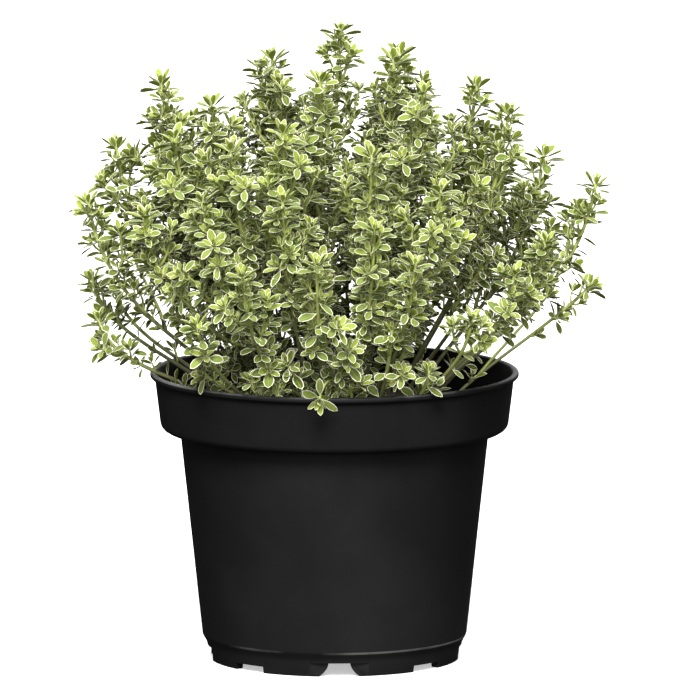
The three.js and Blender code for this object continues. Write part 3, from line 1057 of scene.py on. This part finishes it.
@dataclass
class LeafyStem:
    """One stem of the bush, with its side shoots, its leaf pairs and the tufts in their axils."""

    name: str
    node: str
    line: Shoot
    stretch: float
    blades: dict[LeafForm, list[Mesh]]
    draw: Draw
    # How many side shoots it has, beside the usual, and how many leaves at the least near the soil
    lush: float = 1.0
    least: float = 0.0
    sprigs: list[Shoot] = field(default_factory=list)
    # Leaf pairs at a tip: how far below it, how long, how steep in degrees, and how old
    rosette: Table = (
        (0.05, 2.2, 78, 0.0),
        (0.15, 3.4, 64, 0.0),
        (0.3, 4.5, 51, 0.1),
        (0.5, 5.3, 40, 0.25),
        (0.8, 5.9, 29, 0.45),
        (1.2, 6.3, 18, 0.7),
        (1.8, 6.6, 8, 0.9),
        (2.7, 6.8, -1, 1.0),
    )
    # Each pair of the rosette stands over a quarter turn on from the last, which makes it a star
    rosette_turn: float = 1.24
    # The pairs of a side shoot's and a sprig's rosette, and of a tuft in an axil, as above
    shoot_pairs: int = 7
    tuft_pairs: Table = ((0.05, 2.2, 74, 0.0), (0.3, 3.5, 56, 0.15), (0.8, 4.4, 36, 0.4))
    tuft_turn: float = 1.2
    # The pairs below the rosette: how far the first is from the tip and the last from the foot,
    # their spacing, their leaves' length, and the rise at the tip and at half way, in degrees
    first_node: float = 6.2
    first_spacing: float = 4.0
    spacing_growth: float = 0.22
    last_node: float = 6.0
    leaf_length: float = 6.8
    leaf_rise: float = 8.0
    leaf_droop: float = -4.0
    # How many side shoots grow up beside their stem, nearly to its tip, how far along the way
    # there they reach, and how long the others are
    long_share: float = 0.38
    long_reach: tuple[float, float] = (0.45, 0.8)
    short_lengths: tuple[float, float] = (3.5, 7.0)
    # The pairs below a side shoot's rosette: how far the first is from its tip and the last from
    # its foot, their spacing, their leaves' length, and how many of their axils hold a tuft
    shoot_first_node: float = 5.2
    shoot_last_node: float = 2.5
    shoot_spacing: tuple[float, float] = (4.6, 0.6)
    shoot_leaves: tuple[float, float] = (5.6, 6.9)
    shoot_tufts: float = 0.85
    # Between these heights the stems pass from bare to leafy
    bare_height: float = 104.0
    leafy_height: float = 130.0
    # A side shoot's radius: at its tip, what its foot gains with its length, and the foot's most
    shoot_tip: float = 0.38
    shoot_gain: float = 0.014
    shoot_most: float = 0.75
    # How far a leaf's tip and a side shoot's tip keep from the sides of the CAD model's box
    leaf_margin: float = 0.7
    shoot_margin: float = 6.0

    def build(self, materials: list[Material]) -> Object:
        """The finished stem.

        Args:
            materials: The leaf's and the stem's.

        Returns:
            The stem as one piece.
        """
        self.mesh = bmesh.new()
        self.join(self.line.stalk(8, 4.0, 0.9, self.draw.share()))
        self.tip_leaves(self.line, len(self.rosette), self.stretch**0.5)
        self.lower_nodes()
        for sprig in self.sprigs:
            self.join(sprig.stalk(6, 3.0, 0.1, self.draw.share()))
            self.tip_leaves(sprig, self.shoot_pairs, 1.05)
        return seat(piece_from(self.mesh, self.name, materials), "foliage", self.node)

    def join(self, part: Mesh) -> None:
        """Add a part to the stem and drop it."""
        self.mesh.from_mesh(part)
        bpy.data.meshes.remove(part)

    def tip_leaves(self, shoot: Shoot, pairs: int, size: float) -> None:
        """Set the rosette of pairs at a shoot's tip.

        Args:
            shoot: The shoot that carries them.
            pairs: How many pairs of the rosette it has.
            size: How large this tip is, beside the usual.
        """
        for index, (below, length, rise, age) in enumerate(self.rosette[:pairs]):
            if below * size < shoot.length * 0.95:
                turn = index * self.rosette_turn
                self.pair(shoot, below * size, turn, length * size, rise, age)

    def pair(
        self, shoot: Shoot, below: float, quarter: float, length: float,
        rise: float, age: float, keep: float = 1.0,
    ) -> None:
        """Set two opposite leaves.

        Args:
            shoot: The shoot that carries them.
            below: How far below its tip they are.
            quarter: How many quarter turns on from the first pair, whole or not.
            length: Their length.
            rise: Their rise from square to the shoot, in degrees.
            age: From 0, just opened, to 1, full grown.
            keep: How likely each leaf is to be there.
        """
        point, along, side, inner = shoot.frame(below)
        for half in PAIR:
            if self.draw.share() > keep:
                continue
            turn = math.pi * (0.25 + 0.5 * (quarter + half)) + self.draw.near(0, 0.2)
            out = side * math.sin(turn) + inner * math.cos(turn)
            root = point + out * shoot.radius(below) * 0.5
            size = length * self.draw.near(1, 0.16)
            self.leaf(root, out, along, size, self.draw.near(rise, 11), age)

    def leaf(
        self, root: Vector, out: Vector, along: Vector, length: float, rise: float, age: float
    ) -> None:
        """Set one leaf, unless it would leave the CAD model's box or touch the pot or the soil.

        Args:
            root: Where it leaves its shoot.
            out: The direction square to the shoot that it leaves in.
            along: The shoot's direction.
            length: The leaf's length, which is cut where the box is near.
            rise: Its rise from square to the shoot, in degrees.
            age: From 0, just opened, to 1, full grown.
        """
        angle = math.radians(rise)
        axis = out * math.cos(angle) + along * math.sin(angle)
        face = along * math.cos(angle) - out * math.sin(angle)
        for _ in range(4):
            if is_inside(root + axis * length, self.leaf_margin):
                break
            length *= 0.8
        if not is_inside(root + axis * length, self.leaf_margin):
            return
        if not all(is_clear(root + axis * length * share) for share in (0.3, 0.65, 1.0)):
            return
        wide = length * self.draw.near(0.95, 0.12)
        matrix = matrix_of(axis.cross(face) * wide, axis * length, face * length, root)
        matrix = matrix @ Matrix.Rotation(self.draw.near(0, 0.3) * age, 4, "Y")
        forms = self.forms(age)
        choices = self.blades[forms[int(self.draw.share() * len(forms))]]
        blade = choices[int(self.draw.share() * len(choices))].copy()
        blade.transform(matrix)
        # Painted shade: leaves inside the bush are mixed towards the dark green by how far in they
        # sit, with a little random tone; those in the light stay young and lime a little longer, a
        # painted lightening
        light = openness(root)
        tint = min(1.0, self.draw.share() * 0.28 + 0.95 * (1 - light))
        older = min(1.0, max(0.0, age * (1.3 - 0.15 * light) + self.draw.near(0, 0.12)))
        for point in blade.attributes["growth"].data:
            point.vector = (older, tint, point.vector[2])
        self.join(blade)

    def forms(self, age: float) -> list[LeafForm]:
        """The forms that a leaf of some age may have.

        Args:
            age: From 0, just opened, to 1, full grown.

        Returns:
            The forms, some of them more likely.
        """
        if age < 0.15:
            return [LeafForm.HEART]
        if age < 0.5:
            return [LeafForm.YOUNG]
        return [LeafForm.FULL, LeafForm.FULL, LeafForm.BROAD, LeafForm.ARCHED]

    def lower_nodes(self) -> None:
        """Set the pairs below the tip, with a side shoot or a tuft in most of their axils."""
        below = self.first_node
        spacing = self.first_spacing
        quarter = len(self.rosette)
        while below < self.line.length - self.last_node:
            depth = below / self.line.length
            height = self.line.frame(below)[0].z
            leafy = (height - self.bare_height) / (self.leafy_height - self.bare_height)
            leafy = min(1.0, max(self.least, leafy))
            length = self.leaf_length * (0.75 + 0.25 * leafy)
            rise = self.leaf_rise * (1 - depth) + self.leaf_droop * depth * 2
            self.pair(self.line, below, quarter, length, rise, 1.0, 0.12 + 0.88 * leafy)
            # Side shoots come thicker further below the tip, and tufts take what they leave
            shoots = 0.75 * leafy * self.lush * min(1, max(0.1, (below - 5) / 15))
            for half in PAIR:
                chance = self.draw.share()
                if chance < shoots:
                    self.side_shoot(below, quarter + half)
                elif chance < 0.1 + 0.88 * leafy:
                    self.tuft(self.line, below, quarter + half, self.draw.between(0.85, 1.35))
            below += spacing * self.draw.near(1, 0.15)
            spacing += self.spacing_growth
            quarter += 1

    def branch(self, shoot: Shoot, below: float, quarter: int, length: float) -> Shoot:
        """A line out of an axil, turning up towards the light.

        Args:
            shoot: The shoot that it leaves.
            below: How far below that shoot's tip.
            quarter: Which of its flats, in quarter turns.
            length: The new line's length.

        Returns:
            The new shoot.
        """
        point, along, side, inner = shoot.frame(below)
        turn = math.pi * (0.25 + 0.5 * quarter) + self.draw.near(0, 0.25)
        out = side * math.sin(turn) + inner * math.cos(turn)
        upward = (along + UP * self.draw.between(0.1, 0.6)).normalized()
        root = point + out * shoot.radius(below) * 0.4
        spread = min(length * 0.5, 2.5 + length * 0.3) * self.draw.near(1, 0.3)
        tip = root + out * spread + upward * (length - spread * 0.44)
        tip_way = (upward + out * self.draw.between(0.3, 1.0)).normalized()
        bend = root + out * spread * 0.6 + upward * length * 0.16
        points = interpolate_bezier(root, bend, tip - tip_way * length * 0.34, tip, 8)
        across = out.cross(along).normalized()
        turned = Matrix.Rotation(self.draw.between(0, math.pi / 2), 3, tip_way) @ across
        foot = min(self.shoot_most, self.shoot_tip + length * self.shoot_gain)
        return Shoot(points, turned, foot, self.shoot_tip)

    def tuft(self, shoot: Shoot, below: float, quarter: int, size: float) -> None:
        """Set the small tuft of young leaves in an axil.

        Args:
            shoot: The shoot that carries it.
            below: How far below that shoot's tip.
            quarter: Which of its flats, in quarter turns.
            size: How large it is, beside the usual.
        """
        bud = self.branch(shoot, below, quarter, self.draw.between(1.6, 4.2) * size)
        self.join(bud.stalk(4, 2.0, 0, self.draw.share()))
        for index, (place, length, rise, age) in enumerate(self.tuft_pairs):
            self.pair(bud, place, index * self.tuft_turn, length * size, rise, age)

    def side_shoot(self, below: float, quarter: int) -> None:
        """Set a side shoot with its own rosette, leaf pairs and tufts.

        Args:
            below: How far below the stem's tip it is.
            quarter: Which of the stem's flats it leaves, in quarter turns.
        """
        length = self.draw.between(*self.short_lengths)
        if self.draw.share() < self.long_share:
            length = max(length, below * self.draw.between(*self.long_reach))
        shoot = self.branch(self.line, below, quarter, length)
        fits = is_inside(shoot.points[-1], self.shoot_margin)
        if not (fits and all(map(is_clear, shoot.points))):
            return
        self.join(shoot.stalk(6, 3.0, 0.15, self.draw.share()))
        size = self.draw.between(0.8, 1.05)
        self.tip_leaves(shoot, self.shoot_pairs, size)
        place = self.shoot_first_node * size
        turn = 0
        while place < shoot.length - self.shoot_last_node:
            length = self.draw.between(*self.shoot_leaves)
            self.pair(shoot, place, turn, length, self.draw.near(8, 8), 0.95, 0.95)
            for half in PAIR:
                if self.draw.share() < self.shoot_tufts:
                    self.tuft(shoot, place, turn + half, self.draw.between(0.8, 1.2))
            place += self.draw.near(*self.shoot_spacing)
            turn += 1


@dataclass
class ThymeBush:
    """All the stems: the leaders that the photograph shows, and the rest behind them."""

    # How far out the stems leave the soil at the most, and the lean that puts them there
    base_reach: float = 45.0
    widest_lean: float = math.radians(110)
    soil_top: float = 89.0
    # Stems that end over this height turn up as soon as they are over the rim
    low_tip: float = 125.0
    rim_clearance: float = 104.0
    # How far across and up each leader's tip is seen, and its share of the bush's depth forward
    leaders: Table = (
        (2, 221, 0), (-22, 211, -0.5), (21, 210, 0.3), (50, 201, -0.3), (-61, 202, 0.1),
        (-77, 180, -0.6), (-86.5, 160, 0.6), (-85.5, 133, -0.3), (-83, 119, 0.4), (61, 191, 0.6),
        (74, 177, -0.5), (92, 166.5, 0.2), (90.5, 131, 0.2), (-43, 194, 0.7), (-5, 202, 0.9),
        (31, 198, 0.9), (-56, 182, 0.9), (-66, 155, 0.95), (-36, 178, 1), (-18, 184, 1),
        (13, 176, 1), (-46, 160, 1), (37, 164, 1), (-18, 160, 1), (14, 150, 1), (-32, 134, 1),
        (-6, 138, 1), (28, 138, 1), (-48, 117, 0.9), (74, 146, 0.8), (63, 135, 0.9),
        (20, 115, 0.85), (48, 119, 0.9), (-29, 98, 0.75), (6, 99, 0.74), (33, 101, 0.8),
    )
    back_stems: int = 13
    seed: int = 41
    foot_radius: float = 0.8
    tip_radius: float = 0.6
    leafy_length: float = 72.0
    # Where the bush thins and fills: far out, behind, and to the right, where its stems are bare
    far_side: float = 80.0
    far_back: float = 20.0
    right_side: float = 55.0
    right_bare_height: float = 116.0
    # The sprig that hangs over the front of the rim: the leader that bears it, and its way
    hanging_from: int = 34
    hanging_way: Table = (
        (-1.5, -57.5, 107.8), (-3.6, -63.0, 106.2), (-4.7, -67.0, 104.2), (-5.2, -70.0, 102.2)
    )
    # The low stem on the right that is bare nearly to its tip, with a thinner one beside it
    bare_leader: int = 12
    bare_lean: float = 0.8
    twin_stations: tuple[float, ...] = (52.0, 42.0, 32.0, 22.0, 14.0)
    twin_offset: tuple[float, float, float] = (-5.0, -4.0, 6.5)
    thin_radius: float = 0.56
    leaf: VariegatedLeaf = field(default_factory=VariegatedLeaf)
    stem: GreenStem = field(default_factory=GreenStem)

    def seen_tip(self, across: float, up: float, forward: float) -> Vector:
        """Where a leader's tip is, on the bush's form.

        Args:
            across: How far to the right the photograph shows it.
            up: How far up the photograph shows it.
            forward: Its share of the form's depth in front of the middle.

        Returns:
            The tip.
        """
        wide, deep, high = BUSH_REACH
        slope = math.tan(VIEW_TILT)
        sight = up / math.cos(VIEW_TILT) - BUSH_CENTRE
        # The line of sight meets the form where a * depth ** 2 + b * depth + c is zero
        a = 1 / deep**2 + (slope / high) ** 2
        b = 2 * sight * slope / high**2
        c = (across / wide) ** 2 + (sight / high) ** 2 - 1
        front = (-b + math.sqrt(max(0, b * b - 4 * a * c))) / (2 * a)
        depth = forward * front
        return Vector((across, -depth, (up + depth * math.sin(VIEW_TILT)) / math.cos(VIEW_TILT)))

    def back_tip(self, index: int, draw: Draw) -> Vector:
        """A tip behind: spread evenly over the back of the bush's form.

        Args:
            index: The stem's number among those behind.
            draw: Its own run of numbers.

        Returns:
            The tip.
        """
        share = (index + 0.5) / self.back_stems
        # The golden section turns each from the last, so that no two stand in line
        turn = math.pi * ((index * 0.618034 + 0.1) % 1)
        height = 1 - 1.2 * share
        span = math.sqrt(1 - height * height) * (0.88 + 0.05 * draw.share())
        wide, deep, high = BUSH_REACH
        flat = (wide * 0.9 * span * math.cos(turn), deep * span * math.sin(turn))
        return Vector((*flat, BUSH_CENTRE + high * height * 0.88))

    def line(self, tip: Vector, draw: Draw, lying: float = 0.0) -> Shoot:
        """A stem's line: out of the soil, leaning out to clear the rim, and turning up to its tip.

        Args:
            tip: Where it ends.
            draw: Its own run of numbers.
            lying: How much further its end leans out.

        Returns:
            The line.
        """
        wide = math.hypot(tip.x, tip.y)
        lean = math.atan2(wide / BUSH_REACH[0], (tip.z - BUSH_CENTRE) / BUSH_REACH[2])
        lean /= self.widest_lean
        reach = self.base_reach * min(1, lean) ** 0.85
        turn = math.atan2(tip.y, tip.x) + 0.12 * (draw.share() - 0.5)
        foot = Vector((reach * math.cos(turn), reach * math.sin(turn), self.soil_top))
        out = Vector((tip.x - foot.x, tip.y - foot.y, 0)).normalized()
        root_way = (UP + out * (0.2 + 1.05 * lean**1.5)).normalized()
        tip_way = (UP + out * (0.08 + 0.16 * lean + lying)).normalized()
        start = foot + root_way * 4
        span = (tip - start).length
        # A tall stem turns up soon after it clears the rim, and a low one only at its tip
        upright = span * 0.34
        if tip.z > self.low_tip:
            upright = max(upright, min(span * 0.5, (tip.z - self.rim_clearance) * 0.72))
        curve = interpolate_bezier(
            start, start + root_way * 0.33 * span, tip - tip_way * upright, tip, 28
        )
        points = [foot - root_way * 4, *curve]
        return Shoot(points, Vector((-out.y, out.x, 0)), self.foot_radius, self.tip_radius)

    def lines(self) -> list[Shoot]:
        """Every stem's line, in the order of the CAD nodes.

        Returns:
            The lines.
        """
        lines = []
        for index, seen in enumerate(self.leaders):
            lying = self.bare_lean if index == self.bare_leader else 0.0
            lines.append(self.line(self.seen_tip(*seen), Draw(self.seed + index), lying))
        for index in range(self.back_stems):
            draw = Draw(self.seed + len(self.leaders) + index)
            lines.append(self.line(self.back_tip(index, draw), draw))
        lines[self.bare_leader].foot_radius = self.thin_radius
        return lines

    def sprigs(self, index: int, line: Shoot) -> list[Shoot]:
        """The sprigs that a stem bears besides its side shoots.

        Args:
            index: The stem's number.
            line: The stem's line.

        Returns:
            The sprig over the rim, the thin stem beside the bare one, or none.
        """
        if index == self.hanging_from:
            way = [line.frame(7.0)[0], *(Vector(place) for place in self.hanging_way)]
            return [Shoot(way, Vector((1, 0, 0)), 0.6, 0.45)]
        if index == self.bare_leader:
            last = len(self.twin_stations) - 1
            way = [
                line.frame(below)[0] + Vector(self.twin_offset) * (step / last)
                for step, below in enumerate(self.twin_stations)
            ]
            return [Shoot(way, Vector((0, 1, 0)), self.thin_radius, 0.5)]
        return []

    def lushness(self, tip: Vector) -> float:
        """How many side shoots a stem has, beside the usual, by where it ends.

        Args:
            tip: Where the stem ends.

        Returns:
            The share.
        """
        if abs(tip.x) > self.far_side:
            return 0.75
        return 1.35 if tip.y > self.far_back else 1.1

    def least_leaves(self, tip: Vector) -> float:
        """How leafy a stem is at the least near the soil, by where it ends.

        Args:
            tip: Where the stem ends.

        Returns:
            The share.
        """
        if tip.z < self.low_tip:
            return 0.65
        return 0.24 if tip.y < 0 and tip.x < self.right_side else 0.0

    def build(self) -> list[Object]:
        """All the finished stems.

        Returns:
            One piece for each stem.
        """
        materials = [self.leaf.material(), self.stem.material()]
        twists = (-0.35, 0.0, 0.35)
        blades = {form: [LeafBlade(form, twist).mesh() for twist in twists] for form in LeafForm}
        pieces = []
        for index, line in enumerate(self.lines()):
            tip = line.points[-1]
            stem = LeafyStem(
                name=f"thyme_stem_{index + 1:02d}",
                node=f"leafy_stem_{index + 1:02d}",
                line=line,
                stretch=max(0.75, math.sqrt(line.length / self.leafy_length)),
                blades=blades,
                draw=Draw(self.seed * 5 + index),
                lush=self.lushness(tip),
                least=self.least_leaves(tip),
                sprigs=self.sprigs(index, line),
            )
            if tip.x > self.right_side:
                stem.bare_height = self.right_bare_height
            pieces.append(stem.build(materials))
        for choices in blades.values():
            for blade in choices:
                bpy.data.meshes.remove(blade)
        return pieces


@dataclass
class Studio:
    """A pale floor, soft light and the camera."""

    # The camera's distance is long, because the photograph shows hardly any perspective
    distance: float = 6.0
    aim: tuple[float, float, float] = (0.004756, 0.0, 0.11007)
    frame_width: float = 0.2452
    sensor: float = 36.0
    room_light: float = 0.05
    # Each light's turn from the front, to the right, its height over the floor and how wide it
    # looks from the pot, in degrees, and its strength
    lights: tuple[tuple[str, float, float, float, float], ...] = (
        ("key light", -6, 47, 26, 5.2),
        ("fill light", 24, 24, 60, 0.8),
        ("low light", -4, 10, 40, 1.3),
        ("back light", 170, 40, 70, 2.8),
    )
    paper: StudioPaper = field(default_factory=StudioPaper)

    def floor(self) -> None:
        """The sheet of paper that the pot stands on."""
        mesh = bmesh.new()
        bmesh.ops.create_grid(mesh, x_segments=8, y_segments=8, size=6000)
        floor = piece_from(mesh, "paper_floor", [self.paper.material()])
        # The photograph's ground was cut out and left white: the paper lights nothing
        floor.visible_diffuse = False
        floor.visible_glossy = False

    def light(self) -> None:
        """Wide, soft lights a long way off, which light floor and bush evenly, in a white room."""
        for name, turn, height, spread, strength in self.lights:
            data = bpy.data.lights.new(name, "SUN")
            data.angle = math.radians(spread)
            data.energy = strength
            lamp = bpy.data.objects.new(name, data)
            lamp.rotation_euler = (math.radians(90 - height), 0, math.radians(turn))
            bpy.context.scene.collection.objects.link(lamp)
        world = bpy.data.worlds.new("white room")
        world.use_nodes = True
        room = {"Color": (1, 1, 1, 1), "Strength": self.room_light}
        feed(world.node_tree.nodes["Background"], room)
        bpy.context.scene.world = world

    def camera(self) -> None:
        """The camera, at the photograph's height and angle."""
        data = bpy.data.cameras.new("camera")
        data.sensor_width = self.sensor
        data.lens = self.sensor * self.distance / self.frame_width
        data.clip_end = 100
        camera = bpy.data.objects.new("camera", data)
        back = Vector((0, -math.cos(VIEW_TILT), math.sin(VIEW_TILT)))
        camera.location = Vector(self.aim) + back * self.distance
        camera.rotation_euler = (math.pi / 2 - VIEW_TILT, 0, 0)
        bpy.context.scene.collection.objects.link(camera)
        bpy.context.scene.camera = camera

    def build(self) -> None:
        """Set up the studio."""
        self.camera()
        self.floor()
        self.light()
        bpy.context.scene.view_settings.view_transform = "Standard"


def main() -> None:
    """Build the potted thyme, from the studio to the last leaf."""
    logging.basicConfig(level=logging.INFO, format="%(message)s")
    Studio().build()
    for piece in (NurseryPot().build(), PottingSoil().build(), *ThymeBush().build()):
        piece.data.calc_loop_triangles()
        LOG.info("%s: %d triangles", piece.name, len(piece.data.loop_triangles))


if __name__ == "__main__":
    main()
